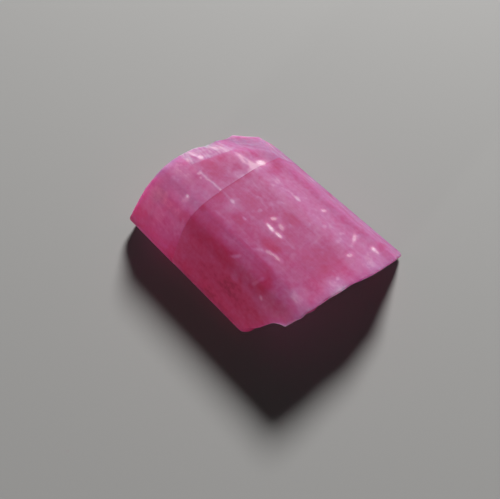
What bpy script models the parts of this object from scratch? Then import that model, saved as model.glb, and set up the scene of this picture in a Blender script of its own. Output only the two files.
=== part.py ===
"""Rubellite: a broken piece of a striated pink tourmaline prism, lying on one prism face.

The prism's long axis runs along X.  The far end is at -X and the near end at +X.
The resting face lies in Z = 0, and the origin is the centre of that footprint.
Run with: blender --background --python part.py
"""
import math
import random

import bpy
import bmesh
from mathutils import Matrix, Vector

MM = 0.001

# ---- driving dimensions, in millimetres -------------------------------------------------
PRISM_START = -11.6          # the uncut prism, longer than the crystal at both ends
PRISM_END = 11.5
PARTING_X = -3.77            # plane of the parting that rings the crystal
PARTING_LIP = 0.07           # how far the far piece stands proud of the near piece
PARTING_OVERLAP = 0.02       # the two pieces run into each other by this much

# Corners of the prism's cross-section as (y, z), counter-clockwise seen from the near end,
# each with the number of striation ribs on the face that starts there.
SECTION = [
    (-6.07, 0.0, 1),         # resting face
    (5.43, 0.0, 2),          # right underside
    (7.53, 0.15, 1),
    (7.93, 0.45, 4),         # steep right face
    (5.13, 4.6, 5),          # right slope of the top, outer half
    (2.23, 5.95, 6),         # its inner half
    (-1.77, 6.85, 3),        # first sharp ridge, then the flat top
    (-3.77, 7.0, 2),         # second ridge, the crest
    (-5.07, 6.75, 2),        # shoulder
    (-6.07, 5.8, 3),         # steep left face, upper part
    (-7.02, 4.0, 3),         # its lower part
    (-7.92, 2.2, 1),         # widest point of the left side
    (-7.77, 1.2, 1),         # left underside
    (-7.17, 0.45, 1),
]
SECTION_MIDDLE = (-0.8, 3.0)  # the parting lip grows away from here
RIB_DEPTH = 0.055            # striation ribs stand in and out by up to this much
RIB_JITTER = 0.3             # share of a rib's width by which its edge may wander
RIB_SEED = 11

# Breaks that end the crystal: the middle of the broken plane, its outward normal, its half
# width and half height, the height of its relief, a relief cell's width and its seed.
BREAKS = {
    "far_break": ((-8.92, -1.77, 6.8), (-1.0, 0.0, 0.17), 13.0, 13.0, 0.13, 0.6, 3),
    "far_bevel": ((-7.78, -1.10, 6.70), (-0.352, 0.311, 0.882), 9.0, 9.0, 0.04, 1.0, 5),
    "corner_slope": ((-6.27, 2.43, 5.85), (-0.30, 0.50, 0.81), 9.0, 9.0, 0.05, 1.0, 8),
    "far_corner": ((-7.52, 6.42, 2.62), (-0.72, 0.66, 0.22), 9.0, 9.0, 0.10, 0.6, 9),
    "parting_facet": ((-4.90, 2.35, 5.94), (0.04, 0.34, 0.94), 1.1, 1.1, 0.01, 0.55, 21),
    "near_break": ((8.38, -4.97, 6.8), (1.0, -0.24, -0.28), 16.0, 13.0, 0.12, 0.6, 13),
    "near_step": ((5.85, -4.71, 0.84), (1.0, -0.45, -0.40), 3.2, 4.0, 0.10, 0.6, 17),
}
BREAK_DEPTH = 9.0

# Scars knocked off the edges: centre, radii along the scar's own axes, turns in degrees
# about X, Y and Z.
SCARS = {
    "near_left_scar": ((8.40, -6.87, 3.96), (2.0, 2.0, 2.0), (0.0, 0.0, 0.0)),
    "far_left_chip": ((-9.52, -7.22, 4.35), (0.32, 0.36, 0.28), (0.0, 0.0, 15.0)),
    "far_crest_chip": ((-9.17, -4.37, 7.1), (0.5, 0.6, 0.35), (0.0, -20.0, 0.0)),
    "right_edge_chip": ((-0.67, 5.30, 4.68), (0.8, 0.3, 0.3), (-40.0, 0.0, 0.0)),
    "left_foot_chip": ((-1.57, -7.44, 0.28), (1.3, 0.4, 0.4), (0.0, 0.0, 0.0)),
    "underside_chip": ((4.93, 7.93, -0.05), (1.6, 0.6, 0.35), (0.0, 0.0, 0.0)),
}

# Small elongated etch pits on the upper faces: x and y of the middle, half length, half
# width and depth.  They lie along the prism.
PIT_LIFT = 0.06              # a pit's cutter is centred this far above the face
PITS = [
    (-5.40, -4.27, 0.28, 0.20, 0.07),
    (-4.37, -5.87, 0.22, 0.16, 0.05),
    (-0.55, -2.17, 0.32, 0.13, 0.05),
    (-0.37, -0.87, 0.24, 0.15, 0.05),
    (0.93, -0.35, 0.30, 0.17, 0.06),
    (1.33, -1.09, 0.48, 0.15, 0.07),
    (2.38, -1.23, 0.40, 0.14, 0.07),
    (1.78, -0.49, 0.36, 0.16, 0.05),
    (3.48, -2.97, 0.75, 0.15, 0.06),
    (2.87, 3.73, 0.30, 0.15, 0.06),
    (6.48, 3.58, 0.28, 0.22, 0.06),
    (8.33, 4.08, 0.50, 0.14, 0.06),
    (7.37, 1.83, 0.25, 0.17, 0.06),
    (1.07, -5.17, 0.35, 0.20, 0.06),
    (4.96, -5.82, 0.22, 0.22, 0.06),
]

COLOUR = (0.48, 0.08, 0.21, 1.0)
ROUGHNESS = 0.18
REFRACTIVE_INDEX = 1.63


def clear_scene():
    for thing in list(bpy.data.objects):
        bpy.data.objects.remove(thing, do_unlink=True)


def new_collection(name):
    collection = bpy.data.collections.new(name)
    bpy.context.scene.collection.children.link(collection)
    return collection


def rubellite_material():
    """Pink tourmaline: a clear to milky gem crystal with a glassy lustre."""
    material = bpy.data.materials.new("rubellite")
    material.use_nodes = True
    shader = material.node_tree.nodes["Principled BSDF"]
    shader.inputs["Base Color"].default_value = COLOUR
    shader.inputs["Roughness"].default_value = ROUGHNESS
    shader.inputs["Metallic"].default_value = 0.0
    shader.inputs["IOR"].default_value = REFRACTIVE_INDEX
    return material


def ribbed_outline(grow):
    """The section's outline in metres, its faces broken into fine lengthwise ribs.

    Every point above the resting face moves outward by grow millimetres.
    """
    generator = random.Random(RIB_SEED)
    middle = Vector(SECTION_MIDDLE)
    points = []
    for index, (y, z, ribs) in enumerate(SECTION):
        start = Vector((y, z))
        end = Vector(SECTION[(index + 1) % len(SECTION)][:2])
        edge = end - start
        outward = Vector((edge.y, -edge.x)).normalized()
        points.append(start)
        for rib in range(1, ribs):
            share = (rib + generator.uniform(-RIB_JITTER, RIB_JITTER)) / ribs
            side = 1.0 if rib % 2 else -0.4
            lift = side * RIB_DEPTH * generator.uniform(0.4, 1.0)
            points.append(start + edge * share + outward * lift)
    grown = []
    for point in points:
        resting = point.y <= 0.0
        away = (point - middle).normalized()
        grown.append((point if resting else point + away * grow) * MM)
    return grown


def prism(name, x_start, x_end, grow, collection):
    """A length of the ribbed prism along X, from a filled flat outline that is extruded."""
    outline = ribbed_outline(grow)
    curve = bpy.data.curves.new(name, "CURVE")
    curve.dimensions = "2D"
    curve.fill_mode = "BOTH"
    curve.extrude = (x_end - x_start) / 2.0 * MM
    spline = curve.splines.new("POLY")
    spline.points.add(len(outline) - 1)
    for target, point in zip(spline.points, outline):
        target.co = (point.x, point.y, 0.0, 1.0)
    spline.use_cyclic_u = True
    drawn = bpy.data.objects.new(name + "_outline", curve)
    collection.objects.link(drawn)
    drawn.rotation_euler = (math.pi / 2.0, 0.0, math.pi / 2.0)
    drawn.location = ((x_start + x_end) / 2.0 * MM, 0.0, 0.0)
    bpy.context.view_layer.update()
    evaluated = drawn.evaluated_get(bpy.context.evaluated_depsgraph_get())
    mesh = bpy.data.meshes.new_from_object(evaluated)
    mesh.transform(drawn.matrix_world)
    welded = bmesh.new()
    welded.from_mesh(mesh)
    bmesh.ops.remove_doubles(welded, verts=welded.verts, dist=0.000001)
    bmesh.ops.recalc_face_normals(welded, faces=welded.faces)
    welded.to_mesh(mesh)
    welded.free()
    mesh.name = name
    bpy.data.objects.remove(drawn, do_unlink=True)
    solid = bpy.data.objects.new(name, mesh)
    collection.objects.link(solid)
    return solid


def relief(u, v, cell, seed):
    """Height of a broken surface at (u, v), about -1 to 1: crossing ripples and ledges."""
    generator = random.Random(seed)
    height = 0.0
    for wave in range(5):
        turn = generator.uniform(0.0, math.tau)
        length = cell * generator.uniform(3.0, 9.0)
        phase = generator.uniform(0.0, math.tau)
        along = u * math.cos(turn) + v * math.sin(turn)
        height += math.sin(math.tau * along / length + phase) / (1.6 + wave * 0.5)
    ledge = math.sin(math.tau * (u * 0.8 + v * 0.6) / (cell * 7.0) + seed)
    return 0.4 * height + 0.35 * math.tanh(4.0 * ledge)


def break_block(name, middle, normal, half_wide, half_high, height, cell, seed, collection):
    """A block whose rough underside is the break; it takes all that lies beyond."""
    block = bmesh.new()
    bmesh.ops.create_grid(
        block, x_segments=int(2.0 * half_wide / cell), y_segments=int(2.0 * half_high / cell),
        size=1.0)
    for vertex in block.verts:
        u = vertex.co.x * half_wide
        v = vertex.co.y * half_high
        vertex.co = Vector((u, v, height * relief(u, v, cell, seed))) * MM
    grown = bmesh.ops.extrude_face_region(block, geom=block.faces[:])
    for element in grown["geom"]:
        if isinstance(element, bmesh.types.BMVert):
            element.co.z = BREAK_DEPTH * MM
    bmesh.ops.recalc_face_normals(block, faces=block.faces)
    outward = Vector(normal).normalized()
    turn = outward.to_track_quat("Z", "Y").to_matrix().to_4x4()
    place = Matrix.Translation(Vector(middle) * MM) @ turn
    mesh = bpy.data.meshes.new(name)
    block.to_mesh(mesh)
    block.free()
    mesh.transform(place)
    return add_cutter(name, mesh, collection)


def lens(name, centre, radii, turns, collection):
    """An ellipsoid cutter for a scar or a pit."""
    ball = bmesh.new()
    bmesh.ops.create_icosphere(ball, subdivisions=2, radius=MM)
    spin = Matrix.Identity(4)
    for angle, axis in zip(turns, "XYZ"):
        spin = Matrix.Rotation(math.radians(angle), 4, axis) @ spin
    shape = Matrix.Diagonal((radii[0], radii[1], radii[2], 1.0))
    place = Matrix.Translation(Vector(centre) * MM) @ spin @ shape
    bmesh.ops.transform(ball, matrix=place, verts=ball.verts)
    mesh = bpy.data.meshes.new(name)
    ball.to_mesh(mesh)
    ball.free()
    return add_cutter(name, mesh, collection)


def top_of_section(y):
    """Height of the upper side of the plain section at y, and its slope dz/dy there."""
    for index, (start_y, start_z, _) in enumerate(SECTION):
        end_y, end_z, _ = SECTION[(index + 1) % len(SECTION)]
        if end_y < start_y and end_y <= y <= start_y:
            slope = (end_z - start_z) / (end_y - start_y)
            return start_z + (y - start_y) * slope, slope
    raise ValueError("y lies outside the section")


def add_cutter(name, mesh, collection):
    cutter = bpy.data.objects.new(name, mesh)
    cutter.display_type = "WIRE"
    cutter.hide_render = True
    collection.objects.link(cutter)
    return cutter


def boolean(target, other, operation):
    modifier = target.modifiers.new(other.name, "BOOLEAN")
    modifier.operation = operation
    modifier.solver = "EXACT"
    modifier.object = other


def build():
    clear_scene()
    parts = new_collection("rubellite")
    cutters = new_collection("cutters")
    crystal = prism("rubellite_crystal", PARTING_X, PRISM_END, 0.0, parts)
    crystal.data.materials.append(rubellite_material())
    far_piece = prism(
        "far_piece", PRISM_START, PARTING_X + PARTING_OVERLAP, PARTING_LIP, cutters)
    far_piece.display_type = "WIRE"
    far_piece.hide_render = True
    boolean(crystal, far_piece, "UNION")
    for name, values in BREAKS.items():
        block = break_block(name, *values, cutters)
        boolean(crystal, block, "DIFFERENCE")
    for name, values in SCARS.items():
        scar = lens(name, *values, cutters)
        boolean(crystal, scar, "DIFFERENCE")
    for number, (x, y, half_long, half_wide, depth) in enumerate(PITS):
        face_height, slope = top_of_section(y)
        lip = PARTING_LIP if x < PARTING_X else 0.0
        centre = (x, y, face_height + lip + PIT_LIFT)
        radii = (half_long, half_wide, depth + PIT_LIFT)
        tilt = math.degrees(math.atan(slope))
        pit = lens(f"pit_{number:02d}", centre, radii, (tilt, 0.0, 0.0), cutters)
        boolean(crystal, pit, "DIFFERENCE")
    return crystal


build()
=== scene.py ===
import math
import random

import bpy
import numpy as np
from mathutils import Euler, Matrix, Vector


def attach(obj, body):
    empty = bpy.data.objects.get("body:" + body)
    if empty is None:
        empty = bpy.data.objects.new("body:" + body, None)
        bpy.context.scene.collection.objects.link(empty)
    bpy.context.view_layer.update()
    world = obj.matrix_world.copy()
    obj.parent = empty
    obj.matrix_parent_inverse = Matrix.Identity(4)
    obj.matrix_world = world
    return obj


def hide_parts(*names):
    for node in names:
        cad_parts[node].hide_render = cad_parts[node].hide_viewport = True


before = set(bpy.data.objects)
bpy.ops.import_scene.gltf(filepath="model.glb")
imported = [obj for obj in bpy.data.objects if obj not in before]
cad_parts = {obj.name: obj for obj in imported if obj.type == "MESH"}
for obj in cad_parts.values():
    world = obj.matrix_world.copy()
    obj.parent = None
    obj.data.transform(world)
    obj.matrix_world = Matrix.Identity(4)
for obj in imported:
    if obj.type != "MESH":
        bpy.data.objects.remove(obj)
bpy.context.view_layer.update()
mm = 0.001

# The crystal lies along X and rests on Z = 0. Its sizes are in mm. Haze is the milky share of the colour,
# from clear crimson at 0 to lilac at 1; in places it also carries painted light and shade. A place on the
# sides is x and the distance round the section from its crest, which grows toward +Y. Limits are two values
# that a change runs between, or four between which it comes and goes.
crystal = {
    "crest": (-1.77, 6.85),  # y and z of the corner that distances round the section start at
    "parting": -3.77,  # plane of the parting that rings the crystal
    "partingLip": 0.025,  # the far piece stands proud by this much
    "middle": (-0.8, 3.0),  # y and z that the section's rays run out from
    "section": [  # corners y, z, ribs on the face that starts there
        (-6.07, 0.0, 1), (5.43, 0.0, 2), (7.53, 0.15, 1), (7.93, 0.45, 4), (5.13, 4.6, 5),
        (2.23, 5.95, 6), (-1.77, 6.85, 3), (-3.77, 7.0, 2), (-5.07, 6.75, 2), (-6.07, 5.8, 3),
        (-7.02, 4.0, 3), (-7.98, 2.15, 1), (-7.91, 1.2, 1), (-7.32, 0.45, 1)],
    "ribDepth": 0.010,
    "ribSides": (1.0, -0.4),  # shares of the depth by which ribs stand out and in by turns
    "ribLift": (0.4, 1.0),  # range of a random share of that
    "ribJitter": 0.3,
    "ribSeed": 11,
    "spacing": 0.1,  # between points round the section
    "baseSpacing": 0.6,  # the same on the hidden resting face
    "softened": 5,  # points each way over which the long edges are worn round
    "softenedSpread": 0.9,  # of a half wave, the weights of those points
    "softenedFrom": (0.5, 1.2),  # limits of height where that wear comes in

    "farColumns": 66,  # rows of points along the far piece, then along the near piece
    "nearColumns": 122,
    "innerRings": 40,  # rings on the far break, then on the bevels round it
    "outerRings": 16,
    "nearRings": 54,
    "nearGathered": 0.8,  # power that spaces the near rings, below 1 for closer ones at the rim
    "rimRounding": 0.22,  # both broken ends' rims are worn back this far
    "rimRows": 4,
    "footRounding": 0.28,  # the same, added at the near end's foot corners
    "footCorners": (7.2, 7.9),  # limits of distance from the middle plane for that
    "easing": 10,  # passes that soften the near break's ledges
    "bevelStart": (0.3, 0.965),  # least and most share of the way out that the far bevels start at

    # broken planes: middle, outward normal, relief height, relief cell, seed
    "farBreaks": [
        ((-8.92, -1.77, 6.8), (-1.0, 0.0, 0.17), 0.13, 0.6, 3),
        ((-7.78, -1.1, 6.7), (-0.352, 0.311, 0.882), 0.04, 1.0, 5),
        ((-6.27, 2.43, 5.85), (-0.3, 0.5, 0.81), 0.05, 1.0, 8),
        ((-7.52, 6.42, 2.62), (-0.72, 0.66, 0.22), 0.1, 0.6, 9)],
    "nearBreak": ((8.38, -4.97, 6.8), (1.0, -0.24, -0.28), 0.12, 0.6, 13),
    "nearStep": ((5.85, -4.71, 0.84), (1.0, -0.45, -0.4), 0.1, 0.6, 17),
    "nearStepBlock": (3.6, 4.0, 9.0),  # its half width, half height and depth
    "nearScar": ((8.4, -6.87, 3.96), 2.0),  # middle and radius of the round scar
    "farTrim": [  # distance round, how much further in the far break lies: edge, rim
        (-12.0, 0.0, 0.0), (-9.4, -0.2, -0.2), (-8.4, 0.0, 0.0), (-6.0, 0.1, 0.1), (-5.2, 0.2, 0.2),
        (-3.4, 0.25, 0.25), (-2.4, -0.05, -0.05), (-1.1, -0.1, -0.1), (0.0, 0.0, 0.0), (2.2, 0.0, 0.0),
        (3.0, 0.28, 0.05), (7.3, 0.6, 0.05), (9.5, 0.1, 0.0), (10.5, 0.0, 0.0)],
    "nearTrim": [  # distance round, how much further out the near break's rim lies
        (-12.0, 0.0), (-10.6, 0.0), (-9.7, 0.5), (-8.8, 0.4), (-8.2, 0.2), (-7.4, 0.32), (-6.0, 0.2),
        (-3.4, 0.2), (-2.7, 0.0), (0.0, 0.0), (2.5, -0.1), (5.7, 0.0)],
    "relief": {  # sine waves and one soft ledge, in cells of the broken plane
        "waves": 5, "lengths": (3.0, 9.0), "divisors": (1.6, 0.5), "waveShare": 0.4,
        "ledge": (0.8, 0.6), "ledgeLength": 7.0, "ledgeSteepness": 4.0, "ledgeShare": 0.35},
    "flakes": 0.03,  # height of the small flakes on the breaks
    "flakeSize": (0.45, 0.28),
    "flakeSeed": 40,
    "facets": ((2.3, 0.2), (0.9, 0.05)),  # large and small facets on the breaks: across, deep
    "facetSteepness": 0.25,  # lower makes steeper facets with wider flats at both levels
    "facetBox": ((-9.0, 9.0), (-1.0, 8.0)),  # y and z that they are laid out over
    "facetSeeds": (71, 81),  # far and near, for the large ones
    "smallFacetSeed": 5,  # added for the small ones
    "farSink": (0.3, 0.85),  # share of their depth by which a break lies lower inside its rim, and
    "nearSink": (1.0, 0.2),  # share of the way where that is full: out on the far end, in on the near

    "striation": 0.006,  # depth of the fine striations
    "striations": ((1.0, 0.16, 7.0, 21), (0.6, 0.34, 11.0, 22)),  # weight, width, length, seed
    "striationFoot": 0.3,  # height over which they come in above the resting face
    "partingFacet": ((-4.9, 2.35, 5.94), (0.04, 0.34, 0.94), 1.1),  # middle, normal, half width
    "chips": [  # centre, radii, turns in degrees
        ((-9.52, -7.22, 4.35), (0.32, 0.36, 0.28), (0.0, 0.0, 15.0)),
        ((-9.17, -4.37, 7.1), (0.5, 0.6, 0.35), (0.0, -20.0, 0.0)),
        ((-0.67, 5.3, 4.68), (0.8, 0.3, 0.3), (-40.0, 0.0, 0.0)),
        ((-1.57, -7.44, 0.28), (1.3, 0.4, 0.4), (0.0, 0.0, 0.0)),
        ((4.93, 7.93, -0.05), (1.6, 0.6, 0.35), (0.0, 0.0, 0.0))],
    "pitLift": 0.06,  # centres of the pits' ellipsoids lie this far above the face
    "pits": [  # x, y, half length, half width, depth
        (-5.4, -4.27, 0.28, 0.2, 0.035), (-4.37, -5.87, 0.22, 0.16, 0.025),
        (-0.55, -2.17, 0.32, 0.13, 0.025), (-0.37, -0.87, 0.24, 0.15, 0.025),
        (0.93, -0.35, 0.3, 0.17, 0.03), (1.33, -1.09, 0.48, 0.15, 0.035), (2.38, -1.23, 0.4, 0.14, 0.035),
        (1.78, -0.49, 0.36, 0.16, 0.025), (3.48, -2.97, 0.75, 0.15, 0.03), (2.87, 3.73, 0.3, 0.15, 0.03),
        (6.48, 3.58, 0.28, 0.22, 0.03), (8.33, 4.08, 0.5, 0.14, 0.03), (7.37, 1.83, 0.25, 0.17, 0.03),
        (1.07, -5.17, 0.35, 0.2, 0.03), (4.96, -5.82, 0.22, 0.22, 0.03)],
    "sharpAngle": 14.0,  # degrees between faces above which an edge is drawn sharp

    "hazeAcross": [  # distance round, haze on the near piece, haze on the far piece. Partly painted light: the near piece's step to lilac at the crest is its top lit by the lamp against the shaded left face, and the dip at -9.2 is painted shade at the foot
        (-19.0, 0.1, 0.3), (-11.0, 0.08, 0.24), (-9.2, -0.08, 0.1), (-8.4, 0.02, 0.22),
        (-7.2, 0.06, 0.36), (-6.0, 0.06, 0.52), (-4.0, 0.14, 0.66), (-2.1, 0.28, 0.54), (-1.9, 0.4, 0.5),
        (-0.5, 0.36, 0.5), (1.0, 0.34, 0.4), (2.6, 0.4, 0.44), (3.4, 0.5, 0.56), (5.0, 0.57, 0.5),
        (6.1, 0.5, 0.48), (6.5, 0.42, 0.48), (6.9, 0.42, 0.5), (7.3, 0.46, 0.52), (8.0, 0.44, 0.54),
        (13.0, 0.45, 0.52), (16.0, 0.3, 0.4), (19.5, 0.1, 0.3)],
    "veils": [  # x, distance round, half lengths, turn in degrees, haze added
        (-7.8, -4.3, 1.3, 0.6, -10, 0.1), (-5.8, -5.5, 0.35, 0.6, 25, -0.12),
        (-4.2, -5.9, 0.5, 0.15, -50, 0.1), (-4.05, -4.5, 0.28, 0.3, 0, 0.16),
        (-4.4, -3.8, 0.28, 0.6, 10, -0.12), (-5.1, -2.75, 0.4, 0.3, -20, 0.14),
        (-5.95, -2.85, 0.35, 0.2, 0, 0.08), (-7.9, -1.3, 1.3, 0.9, 0, 0.08),
        (-6.3, -0.22, 0.16, 0.14, 0, 0.35), (-5.85, -0.42, 0.14, 0.14, 0, 0.3),
        (-2.4, -0.1, 0.22, 0.2, 0, 0.22), (-5.9, 0.9, 1.2, 0.75, 0, -0.12), (-6.3, 2.3, 0.5, 0.5, 0, -0.08),
        (-4.3, 2.35, 0.42, 0.35, 0, 0.22), (-4.8, 2.95, 0.45, 0.35, 0, -0.2),
        # the three on the next line make the bright triangle on the far piece's top slope: painted sheen
        # where that slope faces the lamp
        (-4.7, 4.0, 1.1, 0.4, -8, 0.32), (-5.9, 3.9, 0.5, 0.2, -20, 0.2), (-4.0, 4.1, 0.3, 0.6, 0, 0.24),
        (-5.0, 4.02, 0.3, 0.1, 0, -0.2), (-7.9, 3.4, 0.6, 0.4, 0, 0.15), (-2.1, -0.3, 0.5, 0.95, 15, 0.18),
        (-0.9, -0.9, 0.7, 0.3, 0, -0.12), (-1.0, 0.6, 0.7, 0.5, 0, -0.08),
        (-0.5, -0.4, 0.22, 0.15, -20, 0.35), (-0.35, 1.05, 0.24, 0.18, -45, 0.28),
        (-0.1, 2.35, 0.2, 0.26, 20, 0.22), (-1.4, 2.2, 0.7, 0.15, 0, -0.1),
        (-2.5, 2.75, 0.6, 0.1, 15, 0.14), (-2.7, 5.5, 0.55, 0.9, 0, -0.15),
        (-1.75, 4.6, 0.35, 0.3, 0, 0.14), (-3.1, 6.3, 0.4, 0.5, 0, -0.14),
        (2.3, -1.65, 0.4, 0.13, -28, 0.26), (1.2, -1.95, 0.9, 0.1, -6, 0.12),
        (2.6, -0.68, 0.9, 0.4, -5, -0.17), (3.6, 0.55, 0.5, 0.1, 0, 0.14), (2.3, 2.0, 0.16, 0.12, 0, 0.12),
        (2.0, 2.55, 1.2, 0.4, 0, -0.16), (0.3, 3.1, 0.5, 0.12, -30, 0.16), (3.35, 3.3, 0.12, 0.5, 0, 0.12),
        (0.75, 4.7, 0.3, 0.24, 0, 0.26), (4.2, 4.25, 0.2, 0.25, 0, 0.2), (4.7, 2.5, 0.1, 0.6, 0, 0.1),
        (5.9, 4.0, 0.22, 0.6, -12, 0.14), (5.6, 5.1, 0.2, 0.4, 0, 0.12), (8.2, 1.25, 0.18, 0.18, 0, 0.2),
        (8.6, 0.5, 0.9, 1.2, 0, 0.32), (6.4, 1.5, 1.3, 1.5, 0, -0.12), (8.7, 4.8, 0.9, 1.6, 0, 0.14),
        (2.3, -4.6, 0.5, 0.35, 40, 0.26), (4.1, -3.5, 0.16, 0.7, 20, 0.3),
        (1.35, -3.25, 0.42, 0.14, -45, 0.36), (5.1, -4.35, 0.2, 0.17, 0, 0.42),
        (4.65, -3.3, 0.6, 0.75, 0, -0.27), (3.0, -2.3, 1.4, 0.25, 0, -0.08),
        (0.9, -2.55, 1.6, 0.4, -8, 0.16), (2.6, -3.3, 0.6, 0.5, 0, 0.12), (3.3, -4.3, 0.35, 0.6, -30, 0.18),
        (6.6, -4.0, 2.2, 1.6, 0, 0.24), (7.4, -1.9, 0.9, 0.6, 0, 0.12), (2.6, -3.4, 1.5, 0.8, 0, 0.16),
        (6.2, -1.2, 2.4, 0.6, 0, 0.06), (2.5, -5.9, 2.2, 0.9, 0, -0.1), (-7.7, -4.0, 0.9, 0.6, 0, 0.06),
        (-2.0, 0.9, 1.0, 0.6, 0, -0.06), (-1.5, 7.8, 2.6, 1.0, 0, -0.1), (7.6, -2.3, 1.1, 0.45, 0, 0.12),
        (-5.0, 5.3, 1.0, 0.35, 0, -0.14), (-7.2, 6.8, 1.2, 0.25, -50, 0.12),
        (-5.6, 6.6, 1.5, 0.3, -35, 0.1), (8.4, 8.0, 0.35, 1.0, 0, -0.25)],
    "threads": [  # x and distance round at both ends, half width, haze added
        # the two on the next line run along the ridge by the crest: a painted highlight on it
        (-6.5, -0.02, -3.85, -0.06, 0.085, 0.34), (-3.8, -0.05, -2.2, -0.02, 0.09, 0.16),
        (-2.7, -1.75, -1.3, -1.7, 0.08, 0.14), (-2.9, 1.75, -1.5, 1.95, 0.07, 0.12),
        (-1.5, 1.95, 0.0, 1.85, 0.07, 0.12), (-2.6, 4.9, 0.4, 4.6, 0.1, 0.08),
        (4.4, -2.15, 7.6, -2.75, 0.07, 0.06), (6.9, 4.6, 6.5, 6.6, 0.12, 0.12),
        (-8.4, 7.6, -6.6, 5.4, 0.12, 0.12), (-6.6, 5.4, -5.0, 4.75, 0.1, 0.1),
        (-2.3, 3.4, -0.9, 4.5, 0.08, 0.1), (-0.9, 4.5, 1.0, 4.7, 0.09, 0.12)],
    "paintedGlints": [  # painted glints, white where small facets and pits catch the lamp: x, distance round, half lengths, turn in degrees, whiteness
        (-4.05, 5.02, 0.3, 0.34, 15, 1.0), (1.45, 0.56, 0.39, 0.16, 6, 0.95),
        (2.38, 0.52, 0.3, 0.14, 0, 1.0), (1.0, 1.42, 0.23, 0.15, -45, 0.6),
        (1.95, 1.3, 0.34, 0.14, 18, 0.35), (3.75, -1.12, 0.34, 0.1, 0, 0.6),
        (3.1, -1.18, 0.37, 0.1, -14, 0.4), (-5.35, -2.45, 0.14, 0.11, 0, 0.75),
        (2.95, 5.78, 0.15, 0.19, 20, 0.5), (6.5, 5.65, 0.14, 0.4, -22, 0.45),
        (8.27, 6.22, 0.18, 0.19, 0, 0.9), (8.65, 6.2, 0.16, 0.14, 0, 0.5),
        (7.42, 3.7, 0.15, 0.18, 20, 0.55), (-7.62, 1.1, 0.28, 0.19, -10, 0.8),
        (-8.5, 0.85, 0.41, 0.11, -5, 0.6), (-8.15, 3.1, 0.29, 0.13, -15, 0.3)],
    "behind": {  # marks strewn on the side turned away, in ranges, from a seed
        "seed": 5, "x": (-7.0, 8.6), "around": (8.6, 15.0), "turn": 15.0,
        "veils": 26, "veilHalf": ((0.3, 0.15), (1.3, 0.6)), "veilHaze": (-0.2, 0.22),
        "threads": 12, "threadRun": ((0.8, -0.2), (3.0, 0.2)), "threadHalf": (0.06, 0.11),
        "threadHaze": (0.08, 0.3),
        "paintedGlints": 6, "glintHalf": ((0.14, 0.1), (0.42, 0.18)), "glintWhite": (0.2, 0.6)},
    "wisps": ((0.1, 0.5, 0.35, 61), (0.12, 0.6, 0.35, 62)),  # shift, noise length, noise width, seed
    "markEdges": (0.6, 0.7),  # share over which marks fade at their edge, and halos
    "mottle": (0.09, ((0.8, 0.9, 0.6, 51), (0.3, 0.4, 0.3, 52))),  # haze, and two layers of noise

    # haze and redness tied to places on the form, much of them painted light and shade; a fade is the
    # distance at which one is down to a third
    "tone": {
        "slant": (4.2, 0.25, (-9.0, -6.0, -1.0, 1.0)),  # the painted border of the lit top and the shaded left face drifts round toward the near end: from x, mm round for each mm along, limits round
        "farTop": (0.1, (-6.2, -7.0), (-2.4, -2.1, 0.0, 0.6)),  # haze, limits of x, limits round
        "nearParting": ((-0.13, 0.3, (-3.5, -1.5)), (0.16, 0.9, (-2.0, -4.0))),  # the first is painted shade on the near piece's top beside the parting, where the parting plane inside turns light away; the second lightens its left face: haze, fade, limits
        "farParting": (0.1, 0.25, (0.5, 3.0), (-4.0, -2.0, 5.0, 6.0)),  # painted reflection of the parting plane inside, a pale strip on the far piece along it: haze, haze added, limits
        "farPartingLeft": (0.22, (-2.5, -4.0)),  # haze taken off, limits
        "farPartingFade": (0.9, 0.22, -3.0),  # fades on the left face and elsewhere, distance round
        "farRim": ((1.0, 0.45), (1.4, 0.12)),  # weight and fade, a wide band and a narrow one
        "farRimBand": (-11.0, -9.8, -3.8, -2.2),
        "farRimHaze": -0.2,
        "farRimRed": -0.32,
        "nearRim": (0.35, (-6.0, -4.0, 0.5, 3.0)),  # fade and limits round of the rubbed near rim
        "nearRimHaze": 0.2,
        "nearRimRed": -0.08,
        "halo": (1.7, 2.0, 0.06),  # pink fringe round the painted glints: times as long and as wide, mm further round
        "haloHaze": 0.2,
        "haloRed": 0.2,
        "bevelEdge": (-7.38, 0.21, 0.1),  # x of the edge of the pale far bevel at the crest, drift round, softness; its paleness is painted sheen where that facet catches the lamp, in stripes along its striations
        "bevelBand": (-0.4, 0.1, 3.5, 5.5),
        "bevelStripes": (0.35, 0.16, 1.1, 31),  # slant, width, length, seed
        "bevelHaze": (0.11, 0.32),  # everywhere, and added on stripes
        "bevelRed": -0.12,
        "breakHaze": (0.22, 0.1, 0.9, 0.6, 53),  # mean, then clouds: amount, width, height, seed
        "breakFacets": (0.16, 0.07),  # haze by which large and small facets differ
        "breakEasing": 6,  # passes that soften the facets' borders
        "breakLeast": 0.02,
        "breakRed": 1.05,
        "leftFace": ((-2.0, -4.0), (-18.0, -14.0)),  # limits round of the shaded left face, where red glow is painted, and its end
        "leftRed": (0.38, 0.2),  # painted red glow of light through the stone on the shaded left face: far piece, near piece
        "leftPartingRed": ((-0.1, 0.8), (0.12, 0.9)),  # that painted glow near the parting: redness and fade, far piece, near piece
        "leftEnds": (  # that painted glow on the far piece's left face: redness, limits of x, limits round
            (0.14, (-7.6, -6.6), None), (-0.15, (-6.2, -7.2), (-5.2, -4.2)),
            (-0.4, (-7.9, -9.4), (-4.0, -6.0))),
        "rightRed": (-0.18, (5.2, 7.2)),  # the long slope's foot, painted less red where it faces the lamp: redness, limits round
        "nearTopRed": (0.2, (6.0, 9.0), (2.0, 5.0)),  # painted red glow on the top by the near end: redness, limits of x, limits round that end it
        "crestRed": (0.08, (-2.4, -2.0, -0.4, 0.0)),
        "footRed": ((-0.15, (-7.8, -8.6)), (-0.3, (-11.0, -9.9, -9.1, -8.3))),  # painted shade on the left face's foot by the floor
        "farSlopeRed": (-0.09, (3.8, 5.0)),
        "leastRed": 0.55,
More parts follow.
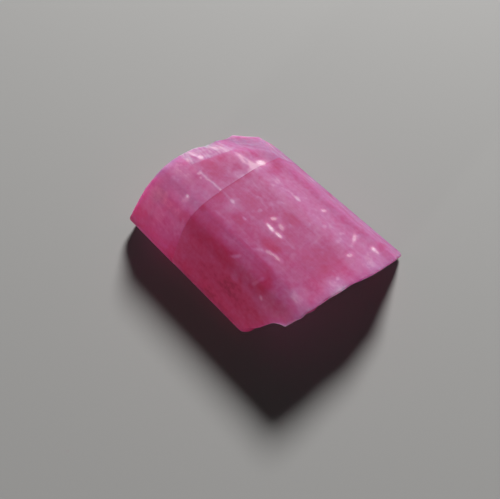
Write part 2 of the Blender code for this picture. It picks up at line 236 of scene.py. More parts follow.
        "blue": 0.35,  # share of the redness that blue follows, and what it loses
        "blueLeft": 0.09,
        "blueNearRim": 0.08,
        "hazeRange": (-0.25, 1.0),
        "poleHaze": 0.15,  # at the two end points
    },
}


def latticeNoise(a, b, seed):
    # random values on a unit lattice, blended smoothly between its points, -1 to 1
    size = 64
    table = np.random.default_rng(seed).uniform(-1.0, 1.0, (size, size))
    cellA, cellB = np.floor(a).astype(int), np.floor(b).astype(int)
    shareA, shareB = a - cellA, b - cellB
    shareA = shareA * shareA * (3.0 - 2.0 * shareA)
    shareB = shareB * shareB * (3.0 - 2.0 * shareB)
    corners = [table[(cellA + stepA) % size, (cellB + stepB) % size] for stepB in (0, 1) for stepA in (0, 1)]
    low = corners[0] * (1 - shareA) + corners[1] * shareA
    high = corners[2] * (1 - shareA) + corners[3] * shareA
    return low * (1 - shareB) + high * shareB


def smooth(low, high, value):
    # 0 below low, 1 above high, an s-curve between
    share = np.clip((value - low) / (high - low), 0.0, 1.0)
    return share * share * (3.0 - 2.0 * share)


def within(limits, value):
    # 1 between the middle two limits, fading to 0 at the outer two
    return smooth(limits[0], limits[1], value) * smooth(limits[3], limits[2], value)


def relief(u, v, cell, seed):
    # sum of sine waves in random directions plus a soft ledge, about -1 to 1
    form = crystal["relief"]
    generator = random.Random(seed)
    height = 0.0
    for wave in range(form["waves"]):
        turn = generator.uniform(0.0, math.tau)
        length = cell * generator.uniform(*form["lengths"])
        phase = generator.uniform(0.0, math.tau)
        along = u * math.cos(turn) + v * math.sin(turn)
        first, growth = form["divisors"]
        height = height + np.sin(math.tau * along / length + phase) / (first + wave * growth)
    along = u * form["ledge"][0] + v * form["ledge"][1]
    ledge = np.sin(math.tau * along / (cell * form["ledgeLength"]) + seed)
    return form["waveShare"] * height + form["ledgeShare"] * np.tanh(form["ledgeSteepness"] * ledge)


def facets(y, z, size, depth, seed):
    # flat facets that meet in straight crests: the gap between two upper envelopes of planes, each
    # envelope touching the same shallow bowl at its own jittered grid of points
    pick = np.random.default_rng(seed)
    (lowY, highY), (lowZ, highZ) = crystal["facetBox"]
    envelopes, shade = [], 0.0
    for _ in range(2):
        rows, columns = np.mgrid[lowY:highY:size, lowZ:highZ:size].reshape(2, -1)
        seeds = np.column_stack([rows, columns]) + pick.uniform(-0.5, 0.5, (len(rows), 2)) * size
        planes = [seedY * (y - 0.5 * seedY) + seedZ * (z - 0.5 * seedZ) for seedY, seedZ in seeds]
        envelopes.append(np.max(planes, axis=0))
        shade = shade + pick.uniform(-0.5, 0.5, len(seeds))[np.argmax(planes, axis=0)]
    height = (envelopes[0] - envelopes[1]) / (crystal["facetSteepness"] * size * size)
    return depth * np.clip(height, -1.0, 1.0), shade


def hollows(y, z, seed, sink):
    # how far a break sinks into the body: large facets with small ones on them
    height = sink * sum(depth for _, depth in crystal["facets"])
    for order, (size, depth) in enumerate(crystal["facets"]):
        height = height + facets(y, z, size, depth, seed + order * crystal["smallFacetSeed"])[0]
    return height


def breakX(plane, y, z):
    # x at which a broken plane with relief is met by the line along X through (y, z)
    middle, normal, height, cell, seed = plane
    outward = Vector(normal).normalized()
    turn = outward.to_track_quat("Z", "Y").to_matrix()
    across, up = turn.col[0], turn.col[1]
    x = middle[0] - (outward.y * (y - middle[1]) + outward.z * (z - middle[2])) / outward.x
    offset = (x - middle[0], y - middle[1], z - middle[2])
    u = sum(axis * part for axis, part in zip(across, offset))
    v = sum(axis * part for axis, part in zip(up, offset))
    wide, high = crystal["flakeSize"]
    flakes = crystal["flakes"] * latticeNoise(u / wide, v / high, seed + crystal["flakeSeed"])
    rough = height * relief(u, v, cell, seed) - np.abs(flakes)
    return x + rough / outward.x, u, v


def farX(y, z):
    # the far end: the largest x of the far planes
    return np.max([breakX(plane, y, z)[0] for plane in crystal["farBreaks"]], axis=0)


def nearX(y, z):
    # the near end: the smallest x of the main break, the step at its foot and the round scar
    x = breakX(crystal["nearBreak"], y, z)[0]
    stepX, u, v = breakX(crystal["nearStep"], y, z)
    turn = Vector(crystal["nearStep"][1]).normalized().to_track_quat("Z", "Y").to_matrix()
    halfWidth, halfHeight, depth = crystal["nearStepBlock"]
    enter, leave = stepX, stepX + depth  # the stretch of the line inside the step's block
    for place, slope, half in ((u, turn[0][0], halfWidth), (v, turn[0][1], halfHeight)):
        bounds = stepX + (np.array([-half, half])[:, None].reshape((2,) + (1,) * u.ndim) - place) / slope
        enter = np.maximum(enter, bounds.min(0))
        leave = np.minimum(leave, bounds.max(0))
    x = np.where(enter < leave, np.minimum(x, enter), x)
    centre, radius = crystal["nearScar"]
    room = radius ** 2 - (y - centre[1]) ** 2 - (z - centre[2]) ** 2
    scarX = centre[0] - np.sqrt(np.maximum(room, 0.0))
    return np.where(room > 0.0, np.minimum(x, scarX), x)


def ribbedSection():
    # the section's corners, with jittered ribs stepped in and out between them
    generator = random.Random(crystal["ribSeed"])
    jitter = crystal["ribJitter"]
    corners = crystal["section"]
    points, normals = [], []
    for index, (y, z, ribs) in enumerate(corners):
        start = np.array((y, z))
        edge = np.array(corners[(index + 1) % len(corners)][:2]) - start
        outward = np.array((edge[1], -edge[0])) / np.hypot(*edge)
        points.append(start)
        normals.append(outward)
        for rib in range(1, ribs):
            share = (rib + generator.uniform(-jitter, jitter)) / ribs
            side = crystal["ribSides"][0 if rib % 2 else 1]
            lift = side * crystal["ribDepth"] * generator.uniform(*crystal["ribLift"])
            points.append(start + edge * share + outward * lift)
            normals.append(outward)
    return np.array(points), np.array(normals)


def sampledSection():
    # points spaced evenly along each rib's edge, so that every ridge has a point on it
    points, normals = ribbedSection()
    samples, outward = [], []
    for index, point in enumerate(points):
        edge = points[(index + 1) % len(points)] - point
        resting = point[1] <= 0.0 and edge[1] <= 0.001
        spacing = crystal["baseSpacing"] if resting else crystal["spacing"]
        steps = max(1, round(float(np.hypot(*edge)) / spacing))
        shares = np.arange(steps)[:, None] / steps
        samples.append(point + edge * shares)
        outward.append(np.repeat(normals[index][None], steps, axis=0))
    samples, outward = np.concatenate(samples), np.concatenate(outward)
    reach = crystal["softened"]
    weights = np.cos(np.linspace(-0.5, 0.5, 2 * reach + 1) * math.pi * crystal["softenedSpread"])
    turned = [np.roll(np.hstack([samples, outward]), step, axis=0) for step in range(-reach, reach + 1)]
    worn = np.tensordot(weights / weights.sum(), np.array(turned), axes=1)
    share = smooth(*crystal["softenedFrom"], samples[:, 1])[:, None]
    samples = samples * (1.0 - share) + worn[:, :2] * share
    outward = outward * (1.0 - share) + worn[:, 2:] * share
    return samples, outward / np.linalg.norm(outward, axis=1)[:, None]


def pushed(points, inward, centre, radii, turns):
    # points inside an ellipsoid move along inward until they meet its wall
    spin = np.array(Euler([math.radians(angle) for angle in turns]).to_matrix())
    local = (points - np.array(centre)) @ spin / np.array(radii)
    heading = inward @ spin / np.array(radii)
    a = (heading ** 2).sum(-1)
    b = 2.0 * (local * heading).sum(-1)
    c = (local ** 2).sum(-1) - 1.0
    travel = np.where(c < 0.0, (-b + np.sqrt(np.maximum(b * b - 4 * a * c, 0.0))) / (2 * a), 0.0)
    return points + inward * travel[..., None]


def bent(first, corner, last, shares):
    # points along a curve that leaves first toward corner and reaches last from it
    return [first * (1 - t) ** 2 + corner * 2 * t * (1 - t) + last * t * t for t in shares]


def topAt(y):
    # height and slope of the plain section's upper side at y
    corners = crystal["section"]
    for index, (startY, startZ, _) in enumerate(corners):
        endY, endZ, _ = corners[(index + 1) % len(corners)]
        if endY < startY and endY <= y <= startY:
            slope = (endZ - startZ) / (endY - startY)
            return startZ + (y - startY) * slope, slope
    raise ValueError("y lies outside the section")


def eased(grid, passes):
    # every inner row keeps a half and takes an eighth from each of its four neighbours
    for _ in range(passes):
        sides = grid[:-2] + grid[2:] + np.roll(grid, 1, axis=1)[1:-1] + np.roll(grid, -1, axis=1)[1:-1]
        grid = np.concatenate([grid[:1], sides / 8 + grid[1:-1] / 2, grid[-1:]])
    return grid


def spots(x, around, marks, edge):
    # each mark adds its amount inside a turned ellipse, fading over the outer share edge
    total = np.zeros(x.shape)
    for markX, markAround, halfX, halfAround, turn, amount in marks:
        c, s = math.cos(math.radians(turn)), math.sin(math.radians(turn))
        along = ((x - markX) * c - (around - markAround) * s) / halfX
        across = ((x - markX) * s + (around - markAround) * c) / halfAround
        total += amount * smooth(1.0 + edge, 1.0 - edge, np.hypot(along, across))
    return total


def lines(x, around, marks):
    # each thread adds its amount near a straight run between its two ends, soft from its core out
    core, fringe = 0.4, 2.0
    total = np.zeros(x.shape)
    for startX, startAround, endX, endAround, half, amount in marks:
        run = np.array((endX - startX, endAround - startAround))
        share = ((x - startX) * run[0] + (around - startAround) * run[1]) / (run @ run)
        share = np.clip(share, 0.0, 1.0)
        gap = np.hypot(x - startX - run[0] * share, around - startAround - run[1] * share)
        total += amount * smooth(fringe * half, core * half, gap)
    return total


def marksBehind():
    # veils, threads and painted glints like those on the open side, at seeded random places
    behind = crystal["behind"]
    pick = np.random.default_rng(behind["seed"])
    low, high = zip(behind["x"], behind["around"])
    for _ in range(behind["veils"]):
        half = pick.uniform(*behind["veilHalf"])
        crystal["veils"].append((*pick.uniform(low, high), *half, pick.normal(0.0, behind["turn"]),
                                 pick.uniform(*behind["veilHaze"])))
    for _ in range(behind["threads"]):
        start = pick.uniform(low, high)
        end = start + pick.uniform(*behind["threadRun"])
        crystal["threads"].append((*start, *end, pick.uniform(*behind["threadHalf"]),
                                   pick.uniform(*behind["threadHaze"])))
    for _ in range(behind["paintedGlints"]):
        half = pick.uniform(*behind["glintHalf"])
        crystal["paintedGlints"].append((*pick.uniform(low, high), *half, pick.normal(0.0, behind["turn"]),
                                  pick.uniform(*behind["glintWhite"])))


def sideHaze(x, around, drifted, gap):
    # the profile round the section of the piece on each side of the parting, changed near the parting
    tone = crystal["tone"]
    profile = np.array(crystal["hazeAcross"])
    near = np.interp(drifted, profile[:, 0], profile[:, 1])
    far = np.interp(around, profile[:, 0], profile[:, 2])
    amount, limitsX, limits = tone["farTop"]
    far += amount * smooth(*limitsX, x) * within(limits, around)
    for amount, fade, limits in tone["nearParting"]:
        near += amount * np.exp(-np.maximum(gap, 0.0) / fade) * smooth(*limits, around)
    amount, added, limits, band = tone["farParting"]
    strip = (amount + added * smooth(*limits, around)) * within(band, around)
    amount, limits = tone["farPartingLeft"]
    strip -= amount * smooth(*limits, around)
    leftFade, fade, border = tone["farPartingFade"]
    far += strip * np.exp(-np.maximum(-gap, 0.0) / np.where(around < border, leftFade, fade))
    return np.where(gap < 0.0, far, near)


def breakHaze(x, y, z):
    # haze on the broken ends: clouds, and a random share for each facet
    tone = crystal["tone"]
    mean, cloud, wide, high, seed = tone["breakHaze"]
    haze = mean + cloud * latticeNoise(y / wide, z / high, seed)
    farSeed, nearSeed = crystal["facetSeeds"]
    for order, ((size, depth), share) in enumerate(zip(crystal["facets"], tone["breakFacets"])):
        offset = order * crystal["smallFacetSeed"]
        far, near = (facets(y, z, size, depth, first + offset)[1] for first in (farSeed, nearSeed))
        haze += share * eased(np.where(x < 0.0, far, near), tone["breakEasing"])
    return np.maximum(haze, tone["breakLeast"])


def redness(x, around, drifted, gap, forms):
    # how much redder than the haze's colour each place is, 1 for no change; much of it is painted light: red
    # glow through the stone on the shaded left face, less red where the slope faces the lamp, and painted
    # shade at the left face's foot
    tone = crystal["tone"]
    rimShare, abraded, halo, bevel = forms
    beyond = gap < 0.0
    limits, end = tone["leftFace"]
    shaded = smooth(*limits, drifted) * smooth(*end, around)
    (farAmount, farFade), (nearAmount, nearFade) = tone["leftPartingRed"]
    farLeft = tone["leftRed"][0] + farAmount * np.exp(-np.maximum(-gap, 0.0) / farFade)
    nearLeft = tone["leftRed"][1] + nearAmount * np.exp(-np.maximum(gap, 0.0) / nearFade)
    for amount, limitsX, limits in tone["leftEnds"]:
        place = smooth(*limits, around) if limits else 1.0
        farLeft += amount * place * smooth(*limitsX, x)
    # painted glow of red light through the stone on the shaded left face
    red = 1.0 + shaded * np.where(beyond, farLeft, nearLeft)
    amount, limits = tone["rightRed"]
    red += amount * smooth(*limits, around)
    amount, limitsX, limits = tone["nearTopRed"]
    red += amount * smooth(*limitsX, x) * (1.0 - smooth(*limits, around))
    amount, limits = tone["crestRed"]
    red += amount * within(limits, around) + tone["haloRed"] * np.minimum(halo, 1.0)
    red += tone["farRimRed"] * rimShare + tone["bevelRed"] * bevel + tone["nearRimRed"] * abraded
    (amount, limits), (deeper, band) = tone["footRed"]
    red += amount * smooth(*limits, around) + deeper * within(band, around)
    amount, limits = tone["farSlopeRed"]
    red += amount * beyond * smooth(*limits, around)
    return red, shaded * ~beyond


def hazeField(points, around, deepInside, fromRim, toNearRim):
    # milky share at each point: a profile round the section, then veils, threads and mottling, partly
    # painted sheen and shade, with the whiteness of the painted glints and the tint, mostly painted glow,
    # that multiplies the haze's colour
    tone = crystal["tone"]
    x, y, z = points[..., 0], points[..., 1], points[..., 2]
    gap = x - crystal["parting"]
    wispX, wispAround = (place + shift * latticeNoise(x / length, around / width, seed)
                         for place, (shift, length, width, seed) in zip((x, around), crystal["wisps"]))
    # the painted border between the lit top and the shaded left face drifts round toward the near end
    start, slant, limits = tone["slant"]
    drifted = around + slant * np.maximum(x - start, 0.0) * within(limits, around)
    haze = sideHaze(x, around, drifted, gap)
    markEdge, haloEdge = crystal["markEdges"]
    haze += spots(wispX, wispAround, crystal["veils"], markEdge)
    haze += lines(wispX, wispAround, crystal["threads"])

    rimShare = sum(weight * np.exp(-fromRim / fade) for weight, fade in tone["farRim"])
    rimShare *= within(tone["farRimBand"], around)
    fade, limits = tone["nearRim"]
    abraded = np.exp(-toNearRim / fade) * within(limits, around)
    longer, wider, shift = tone["halo"]
    halos = [(*mark[:2], longer * mark[2], wider * mark[3], *mark[4:]) for mark in crystal["paintedGlints"]]
    halo = spots(wispX, wispAround - shift, halos, haloEdge)
    haze += tone["farRimHaze"] * rimShare + tone["nearRimHaze"] * abraded + tone["haloHaze"] * halo

    # the far bevel: painted sheen where that facet catches the lamp, in stripes
    atCrest, drift, soft = tone["bevelEdge"]
    edge = atCrest + drift * np.maximum(around, 0.0)
    slant, width, length, seed = tone["bevelStripes"]
    stripes = 0.5 + 0.5 * latticeNoise((around + slant * x) / width, x / length, seed)
    bevel = smooth(soft, -soft, x - edge) * within(tone["bevelBand"], around)
    haze += bevel * (tone["bevelHaze"][0] + tone["bevelHaze"][1] * stripes)
    amount, layers = crystal["mottle"]
    haze += amount * sum(weight * latticeNoise(x / length, around / width, seed)
                         for weight, length, width, seed in layers)

    haze = haze * (1.0 - deepInside) + breakHaze(x, y, z) * deepInside
    # whiteness of the painted glints, standing for light caught by small facets and pits
    white = spots(0.5 * (x + wispX), 0.5 * (around + wispAround), crystal["paintedGlints"], markEdge)
    white = white * (1.0 - deepInside)
    red, nearLeft = redness(x, around, drifted, gap, (rimShare, abraded, halo, bevel))
    red = np.maximum(red * (1.0 - deepInside) + tone["breakRed"] * deepInside, tone["leastRed"])
    lost = tone["blueLeft"] * nearLeft + tone["blueNearRim"] * abraded
    blue = 1.0 + tone["blue"] * (red - 1.0) - lost * (1.0 - deepInside)
    tint = np.stack([red, np.ones(x.shape), blue, np.ones(x.shape)], axis=-1)
    return np.clip(haze, *tone["hazeRange"]), np.clip(white, 0.0, 1.0), tint


def toward(middle, base, share):
    # points of the section drawn in to its middle, 0 at the middle and 1 at the base
    return middle + (base - middle) * share[..., None]


def bevelStart(lifted, middle):
    # share of the way out to the rim where the far break gives way to the bevels, at each ray
    least, most = crystal["bevelStart"]
    first, *bevels = [plane[:2] + (0.0,) + plane[3:] for plane in crystal["farBreaks"]]
    turnover = np.full(len(lifted), most)
    ends = [toward(middle, lifted, np.full(len(lifted), share)) for share in (0.0, 1.0)]
    for plane in bevels:
        gap = [breakX(plane, *end.T)[0] - breakX(first, *end.T)[0] for end in ends]
        crossing = gap[0] / (gap[0] - gap[1])
        valid = (gap[0] < 0.0) & (gap[1] > 0.0)
        turnover = np.where(valid, np.minimum(turnover, crossing), turnover)
    return np.clip(turnover, least, most)


def marked(points, inward, farRows):
    # chips and pits pressed in, and the flat facet cut on the far piece's edge
    for centre, radii, turns in crystal["chips"]:
        points = pushed(points, inward, centre, radii, turns)
    for pitX, pitY, halfLong, halfWide, deep in crystal["pits"]:
        height, slope = topAt(pitY)
        lip = crystal["partingLip"] if pitX < crystal["parting"] else 0.0
        centre = (pitX, pitY, height + lip + crystal["pitLift"])
        radii = (halfLong, halfWide, deep + crystal["pitLift"])
        points = pushed(points, inward, centre, radii, (math.degrees(math.atan(slope)), 0, 0))
    centre, normal, half = crystal["partingFacet"]
    normal = Vector(normal).normalized()
    turn = normal.to_track_quat("Z", "Y").to_matrix()
    local = (points - np.array(centre)) @ np.array(turn)
    proud = (local[..., 2] > 0.0) & (np.abs(local[..., 0]) < half) & (np.abs(local[..., 1]) < half)
    proud[farRows:] = False
    return points - np.array(normal) * (local[..., 2] * proud)[..., None]


def crystalPoints():
    # One closed surface of two parameters, the row and the place round the section. Rows run from the
    # far end's middle out to its rim, along the side and in to the near middle. On the side a point is
    # the section's outline at an even step of x between the rims. On an end it is the outline drawn in
    # to the middle, at the x where the broken planes meet its line along X. A curve rounds the rims.
    outline, outward = sampledSection()
    y, z = outline[:, 0], outline[:, 1]
    arc = np.cumsum(np.hypot(*np.diff(outline, axis=0, append=outline[:1]).T))
    passed = np.concatenate([[0.0], arc[:-1]])
    crest = passed[np.argmin(np.hypot(y - crystal["crest"][0], z - crystal["crest"][1]))]
    around = (crest - passed + arc[-1] / 2) % arc[-1] - arc[-1] / 2
    nearOut = np.interp(around, *np.array(crystal["nearTrim"]).T)
    trims = np.array(crystal["farTrim"])
    edgeTrim, rimTrim = (np.interp(around, trims[:, 0], trims[:, side]) for side in (1, 2))
    middle = np.array(crystal["middle"])
    reach = np.linalg.norm(outline - middle, axis=1)
    lifted = outline + (outline - middle) / reach[:, None] * crystal["partingLip"] * (z > 0.0)[:, None]
    turnover = bevelStart(lifted, middle)
    farSeed, nearSeed = crystal["facetSeeds"]

    rows = []
    inner = np.linspace(0.0, 1.0, crystal["innerRings"] + 1)[1:]
    outer = np.linspace(0.0, 1.0, crystal["outerRings"] + 1)[1:]
    shares = [turnover * step for step in inner] + [turnover + (1 - turnover) * step for step in outer]
    farWear = crystal["rimRounding"]
    nearWear = farWear + crystal["footRounding"] * smooth(*crystal["footCorners"], np.abs(y))
    rounding = np.linspace(0.0, 1.0, crystal["rimRows"] + 1)
    sink, sinkShare = crystal["farSink"]
    for share in shares:
        flat = toward(middle, lifted, share * (1.0 - farWear / reach))
        x = farX(*flat.T)
        x += hollows(*flat.T, farSeed, sink) * smooth(1.0, sinkShare, share / turnover)
        toRim = np.maximum(share - turnover, 0.0) / (1.0 - turnover)
        x += edgeTrim * np.minimum(share / turnover, 1.0) + (rimTrim - edgeTrim) * toRim
        rows.append(np.column_stack([x, flat]))
    capRows = len(rows)
    farRim = farX(*lifted.T) + rimTrim
    start = np.column_stack([farRim + farWear, lifted])
    rows += bent(rows[-1], np.column_stack([farRim, lifted]), start, rounding[1:])
    for step in np.linspace(0.0, 1.0, crystal["farColumns"] + 1)[1:]:
        x = start[:, 0] + (crystal["parting"] - start[:, 0]) * step
        rows.append(np.column_stack([x, lifted]))
    farRows = len(rows)
    nearRim = nearX(y, z) + nearOut
    for step in np.linspace(0.0, 1.0, crystal["nearColumns"] + 1):
        x = crystal["parting"] + (nearRim - nearWear - crystal["parting"]) * step
        rows.append(np.column_stack([x, outline]))
    sideRows = len(rows)
    kept = 1.0 - nearWear / reach
    flat = toward(middle, outline, kept)
    turned = np.column_stack([nearX(*flat.T) + nearOut, flat])
    rows += bent(rows[-1], np.column_stack([nearRim, outline]), turned, rounding[1:])
    for step in np.linspace(0.0, 1.0, crystal["nearRings"] + 1)[1:-1]:
        flat = toward(middle, outline, kept * (1.0 - step) ** crystal["nearGathered"])
        rows.append(np.column_stack([nearX(*flat.T) + nearOut * (1.0 - step), flat]))

    points = np.array(rows)
    nearCap = sideRows + crystal["rimRows"]
    points[nearCap - 1:, :, 0] = eased(points[nearCap - 1:, :, 0], crystal["easing"])
    sink, sinkShare = crystal["nearSink"]
    capPoints = points[nearCap:]
    sunk = hollows(capPoints[..., 1], capPoints[..., 2], nearSeed, sink)
    capPoints[..., 0] -= sunk * smooth(0.0, sinkShare, np.linspace(0.0, 1.0, len(capPoints))[:, None])

    # fine striations along the prism, on its sides only and none at the foot
    along, place = points[..., 0], np.broadcast_to(arc, points.shape[:2])
    groove = sum(weight * latticeNoise(place / width, along / length, seed)
                 for weight, width, length, seed in crystal["striations"])
    onSide = np.zeros(len(points))
    onSide[capRows:sideRows] = 1.0
    above = smooth(0.0, crystal["striationFoot"], points[..., 2])
    depth = crystal["striation"] * np.abs(groove) * onSide[:, None] * above
    inward = np.zeros(points.shape)
    inward[..., 1:] = -outward
    points = marked(points + inward * depth[..., None], inward, farRows)
    points[..., 2] = np.maximum(points[..., 2], 0.0)

    farEdge, nearEdge = 5, 9  # rows over which the ends' own colour comes in
    deepInside = np.zeros(points.shape[:2])
    rings = crystal["innerRings"]
    deepInside[:rings] = smooth(rings, rings - farEdge, np.arange(rings))[:, None]
    deepInside[sideRows:] = smooth(0, nearEdge, np.arange(sideRows, len(points)) - nearCap)[:, None]
    fromRim = np.maximum(points[..., 0] - farRim, 0.0)
    fromRim[:capRows] = (1.0 - np.array(shares)) * reach
    toNearRim = np.maximum(nearRim - points[..., 0], 0.0)
    return points, np.broadcast_to(around, points.shape[:2]), deepInside, fromRim, toNearRim


def closedMesh(name, points):
    # a grid of rows closed round the section, with a fan to the mean of the end row at each end
    rows, columns = points.shape[:2]
    index = np.arange(rows * columns).reshape(rows, columns)
    following = np.roll(index, -1, axis=1)
    quads = np.stack([index[:-1], following[:-1], following[1:], index[1:]], axis=-1).reshape(-1, 4)
    farPole, nearPole = rows * columns, rows * columns + 1
    farFan = np.column_stack([following[0], index[0], np.full(columns, farPole)])
    nearFan = np.column_stack([index[-1], following[-1], np.full(columns, nearPole)])
    vertices = np.vstack([points.reshape(-1, 3), points[0].mean(axis=0), points[-1].mean(axis=0)]) * mm
    mesh = bpy.data.meshes.new(name)
    mesh.from_pydata(vertices.tolist(), [], quads.tolist() + farFan.tolist() + nearFan.tolist())
    mesh.validate()
    piece = bpy.data.objects.new(name, mesh)
    bpy.context.scene.collection.objects.link(piece)
    return piece


def hexColour(code):
    # sRGB hex to linear RGBA
    parts = [int(code[i:i + 2], 16) / 255.0 for i in (1, 3, 5)]
    return [p / 12.92 if p <= 0.04045 else ((p + 0.055) / 1.055) ** 2.4 for p in parts] + [1.0]


def addNode(tree, kind, settings=None, inputs=None):
    node = tree.nodes.new(kind)
    for name, value in (settings or {}).items():
        setattr(node, name, value)
    for key, value in (inputs or {}).items():
        if isinstance(value, bpy.types.NodeSocket):
            tree.links.new(value, node.inputs[key])
        else:
            node.inputs[key].default_value = value
    return node


# Rubellite is pink to red tourmaline. These are its natural prism faces, as they grew and as wear has
# dulled them, and broken ends. They give the eye a soft satin sheen with no mirror in it, and a colour
# that comes from inside a milky stone. Sizes of patterns are in mm.
rubellite = {
    "ramp": [  # haze and its colour, clear crimson to lilac
        (-0.25, "#8A1F42"), (0.0, "#B43465"), (0.35, "#B85489"), (0.65, "#C079A7"), (1.0, "#DDB0CB")],
    # colour of the painted glints
    "white": "#FFE2EF",
    "cloud": 5 / 12,  # clouds of tiny tubes and healed cracks
    "streak": (2.0, 0.2, 0.2),  # growth streaks, long along the prism
    "streakShare": 0.3,
    "patternDetail": 4.0,
    "patternRange": (0.40, 0.90),  # of both together
    "mottle": 0.11,  # how far they shift the haze
    "glintGrain": 1 / 6,  # ragged edges of the painted glints
    "glintDetail": 2.0,
    "glintRange": (0.3, 0.7),
    "glintCover": (0.6, 1.15),
    "groove": (10 / 3, 1 / 7, 1 / 7),  # striations, really 0.02 to 0.05 wide, drawn as coarse as shows
    "grooveDetail": 3.0,
    "grooveStrength": 0.3,
    "grooveDepth": 0.03,
    "roughness": 0.6,
    "specular": 0.06,  # low, as worn faces scatter most of what they reflect
    "ior": 1.63,
    "transmission": 0.12,
    "absorb": "#F0405F",
    "density": 150.0,  # per metre
    "scatterScale": 0.006,  # metres that light strays inside, times the radius of its colour
    "scatterRadius": (1.0, 0.25, 0.4),
}


def rubelliteMaterial():
    material = bpy.data.materials.new("rubellite tourmaline, natural prism faces")
    material.use_nodes = True
    tree = material.node_tree
    tree.nodes.clear()
    place = addNode(tree, "ShaderNodeTexCoord").outputs["Object"]
    inMm = addNode(tree, "ShaderNodeMapping", None, {"Vector": place, "Scale": (1.0 / mm,) * 3}).outputs[0]
    detail = rubellite["patternDetail"]
    cloud = addNode(tree, "ShaderNodeTexNoise", None,
                    {"Vector": inMm, "Scale": 1.0 / rubellite["cloud"], "Detail": detail})
    stretched = addNode(tree, "ShaderNodeMapping", None,
                        {"Vector": inMm, "Scale": [1.0 / size for size in rubellite["streak"]]})
    streak = addNode(tree, "ShaderNodeTexNoise", None,
                     {"Vector": stretched.outputs[0], "Scale": 1.0, "Detail": detail})
    both = addNode(tree, "ShaderNodeMath", {"operation": "MULTIPLY_ADD"},
                   {0: streak.outputs["Fac"], 1: rubellite["streakShare"], 2: cloud.outputs["Fac"]})
    darkest = rubellite["ramp"][0][0]
    low, high = rubellite["patternRange"]
    shift = addNode(tree, "ShaderNodeMapRange", None,
                    {"Value": both.outputs[0], "From Min": low, "From Max": high,
                     "To Min": -rubellite["mottle"] - darkest, "To Max": rubellite["mottle"] - darkest})
    haze = addNode(tree, "ShaderNodeAttribute", {"attribute_name": "haze"})
    mottled = addNode(tree, "ShaderNodeMath", {"operation": "ADD"},
                      {0: haze.outputs["Fac"], 1: shift.outputs[0]})
    scaled = addNode(tree, "ShaderNodeMath", {"operation": "DIVIDE"},
                     {0: mottled.outputs[0], 1: 1.0 - darkest})
    ramp = addNode(tree, "ShaderNodeValToRGB", None, {"Fac": scaled.outputs[0]})
    stops = ramp.color_ramp.elements
    while len(stops) < len(rubellite["ramp"]):
        stops.new(0.5)
    for stop, (amount, code) in zip(stops, rubellite["ramp"]):
        stop.position, stop.color = (amount - darkest) / (1.0 - darkest), hexColour(code)
    tint = addNode(tree, "ShaderNodeAttribute", {"attribute_name": "tint"})
    warmed = addNode(tree, "ShaderNodeMix", {"data_type": "RGBA", "blend_type": "MULTIPLY"},
                     {"Factor": 1.0, "A": ramp.outputs[0], "B": tint.outputs["Color"]})
    # painted glints: near-white mixed in where the white attribute is, ragged at the edges
    white = addNode(tree, "ShaderNodeAttribute", {"attribute_name": "white"})
    ragged = addNode(tree, "ShaderNodeTexNoise", None,
                     {"Vector": inMm, "Scale": 1.0 / rubellite["glintGrain"],
                      "Detail": rubellite["glintDetail"]})
    low, high = rubellite["glintRange"]
    least, most = rubellite["glintCover"]
    grain = addNode(tree, "ShaderNodeMapRange", None,
                    {"Value": ragged.outputs["Fac"], "From Min": low, "From Max": high,
                     "To Min": least, "To Max": most})
    torn = addNode(tree, "ShaderNodeMath", {"operation": "MULTIPLY", "use_clamp": True},
                   {0: white.outputs["Fac"], 1: grain.outputs[0]})
    colour = addNode(tree, "ShaderNodeMix", {"data_type": "RGBA"},
                     {"Factor": torn.outputs[0], "A": warmed.outputs["Result"],
                      "B": hexColour(rubellite["white"])})
    offGlints = addNode(tree, "ShaderNodeMath", {"operation": "SUBTRACT", "use_clamp": True},
                      {0: 1.0, 1: torn.outputs[0]})
    grooves = addNode(tree, "ShaderNodeMapping", None,
                      {"Vector": inMm, "Scale": [1.0 / size for size in rubellite["groove"]]})
    fine = addNode(tree, "ShaderNodeTexNoise", None,
                   {"Vector": grooves.outputs[0], "Scale": 1.0, "Detail": rubellite["grooveDetail"]})
    bump = addNode(tree, "ShaderNodeBump", None,
                   {"Height": fine.outputs["Fac"], "Strength": rubellite["grooveStrength"],
                    "Distance": rubellite["grooveDepth"] * mm})
    shader = addNode(tree, "ShaderNodeBsdfPrincipled", None, {
        "Base Color": colour.outputs["Result"], "Roughness": rubellite["roughness"],
        "IOR": rubellite["ior"], "Transmission Weight": rubellite["transmission"],
        "Subsurface Weight": offGlints.outputs[0], "Subsurface Scale": rubellite["scatterScale"],
        "Subsurface Radius": rubellite["scatterRadius"], "Specular IOR Level": rubellite["specular"],
        "Normal": bump.outputs[0]})
    absorb = addNode(tree, "ShaderNodeVolumeAbsorption", None,
                     {"Color": hexColour(rubellite["absorb"]), "Density": rubellite["density"]})
    addNode(tree, "ShaderNodeOutputMaterial", None,
            {"Surface": shader.outputs[0], "Volume": absorb.outputs[0]})
    return material


points, around, deepInside, fromRim, toNearRim = crystalPoints()
piece = closedMesh("rubellite_surface", points)
marksBehind()
haze, white, tint = hazeField(points, around, deepInside, fromRim, toNearRim)
for name, field, atPoles in (("haze", haze, crystal["tone"]["poleHaze"]), ("white", white, 0.0)):
    layer = piece.data.attributes.new(name, "FLOAT", "POINT")
    layer.data.foreach_set("value", np.concatenate([field.ravel(), [atPoles, atPoles]]))
layer = piece.data.attributes.new("tint", "FLOAT_COLOR", "POINT")
layer.data.foreach_set("color", np.concatenate([tint.ravel(), tint[0, 0], tint[-1, 0]]))
piece.data.shade_smooth()
piece.data.set_sharp_from_angle(angle=math.radians(crystal["sharpAngle"]))
piece.data.materials.append(rubelliteMaterial())
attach(piece, "root")
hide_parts("rubellite_crystal")
print("crystal surface done:", len(piece.data.polygons), "faces")

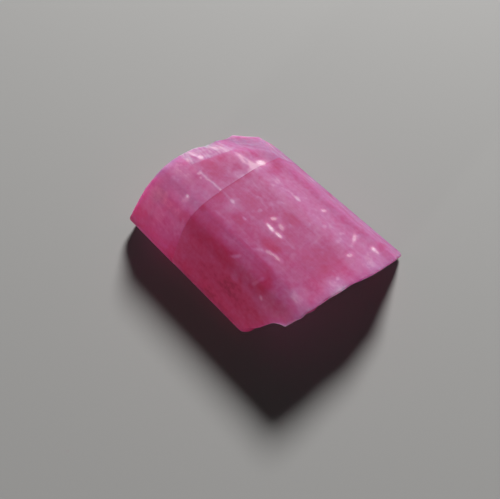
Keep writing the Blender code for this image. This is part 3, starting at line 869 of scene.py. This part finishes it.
stage = {
    "floor": "#A9A8A6",
    "floorHalf": 1.5,  # metres, like the lamps' sizes and distances
    "floorRoughness": 0.9,
    "world": "#FFFFFF",
    "worldStrength": 0.008,
    "keyDirection": (-0.386, 0.662, 0.643),
    "keyDistance": 0.30,
    "keySize": 0.08,
    "keyPower": 1.15,
    "fillDirection": (0.15, -0.98, 0.055),
    "fillDistance": 0.35,
    "fillSize": 0.04,
    "fillPower": 0.52,
}


def makeStage():
    # Matt paper sweep: uncoated pressed fibre, which gives the eye an even tone with no highlight.
    mesh = bpy.data.meshes.new("floor")
    half = stage["floorHalf"]
    mesh.from_pydata([(-half, -half, 0), (half, -half, 0), (half, half, 0), (-half, half, 0)], [],
                     [(0, 1, 2, 3)])
    floor = bpy.data.objects.new("floor", mesh)
    bpy.context.scene.collection.objects.link(floor)
    material = bpy.data.materials.new("matt paper sweep")
    material.use_nodes = True
    shader = material.node_tree.nodes["Principled BSDF"]
    shader.inputs["Base Color"].default_value = hexColour(stage["floor"])
    shader.inputs["Roughness"].default_value = stage["floorRoughness"]
    mesh.materials.append(material)
    world = bpy.data.worlds.new("studio")
    world.use_nodes = True
    world.node_tree.nodes["Background"].inputs["Color"].default_value = hexColour(stage["world"])
    world.node_tree.nodes["Background"].inputs["Strength"].default_value = stage["worldStrength"]
    bpy.context.scene.world = world
    for name in ("key", "fill"):
        light = bpy.data.lights.new(name, "AREA")
        light.shape = "DISK"
        light.size = stage[name + "Size"]
        light.energy = stage[name + "Power"]
        lamp = bpy.data.objects.new(name, light)
        heading = Vector(stage[name + "Direction"]).normalized()
        lamp.location = heading * stage[name + "Distance"]
        lamp.rotation_euler = heading.to_track_quat("Z", "Y").to_euler()
        bpy.context.scene.collection.objects.link(lamp)


makeStage()
print("stage done")

view = {
    "place": (15.602, -17.145, 48.016),  # mm
    "turn": (25.0, 0.0, 46.1),
    "focal": 573.0,  # in pixels of a frame this wide
    "frameWidth": 500.0,
    "sensor": 36.0,
    "clipStart": 0.001,
}
camera = bpy.data.cameras.new("camera")
camera.sensor_width = view["sensor"]
camera.lens = view["focal"] * camera.sensor_width / view["frameWidth"]
camera.clip_start = view["clipStart"]
holder = bpy.data.objects.new("camera", camera)
holder.location = Vector(view["place"]) * mm
holder.rotation_euler = [math.radians(angle) for angle in view["turn"]]
bpy.context.scene.collection.objects.link(holder)
bpy.context.scene.camera = holder
bpy.context.scene.view_settings.view_transform = "Standard"
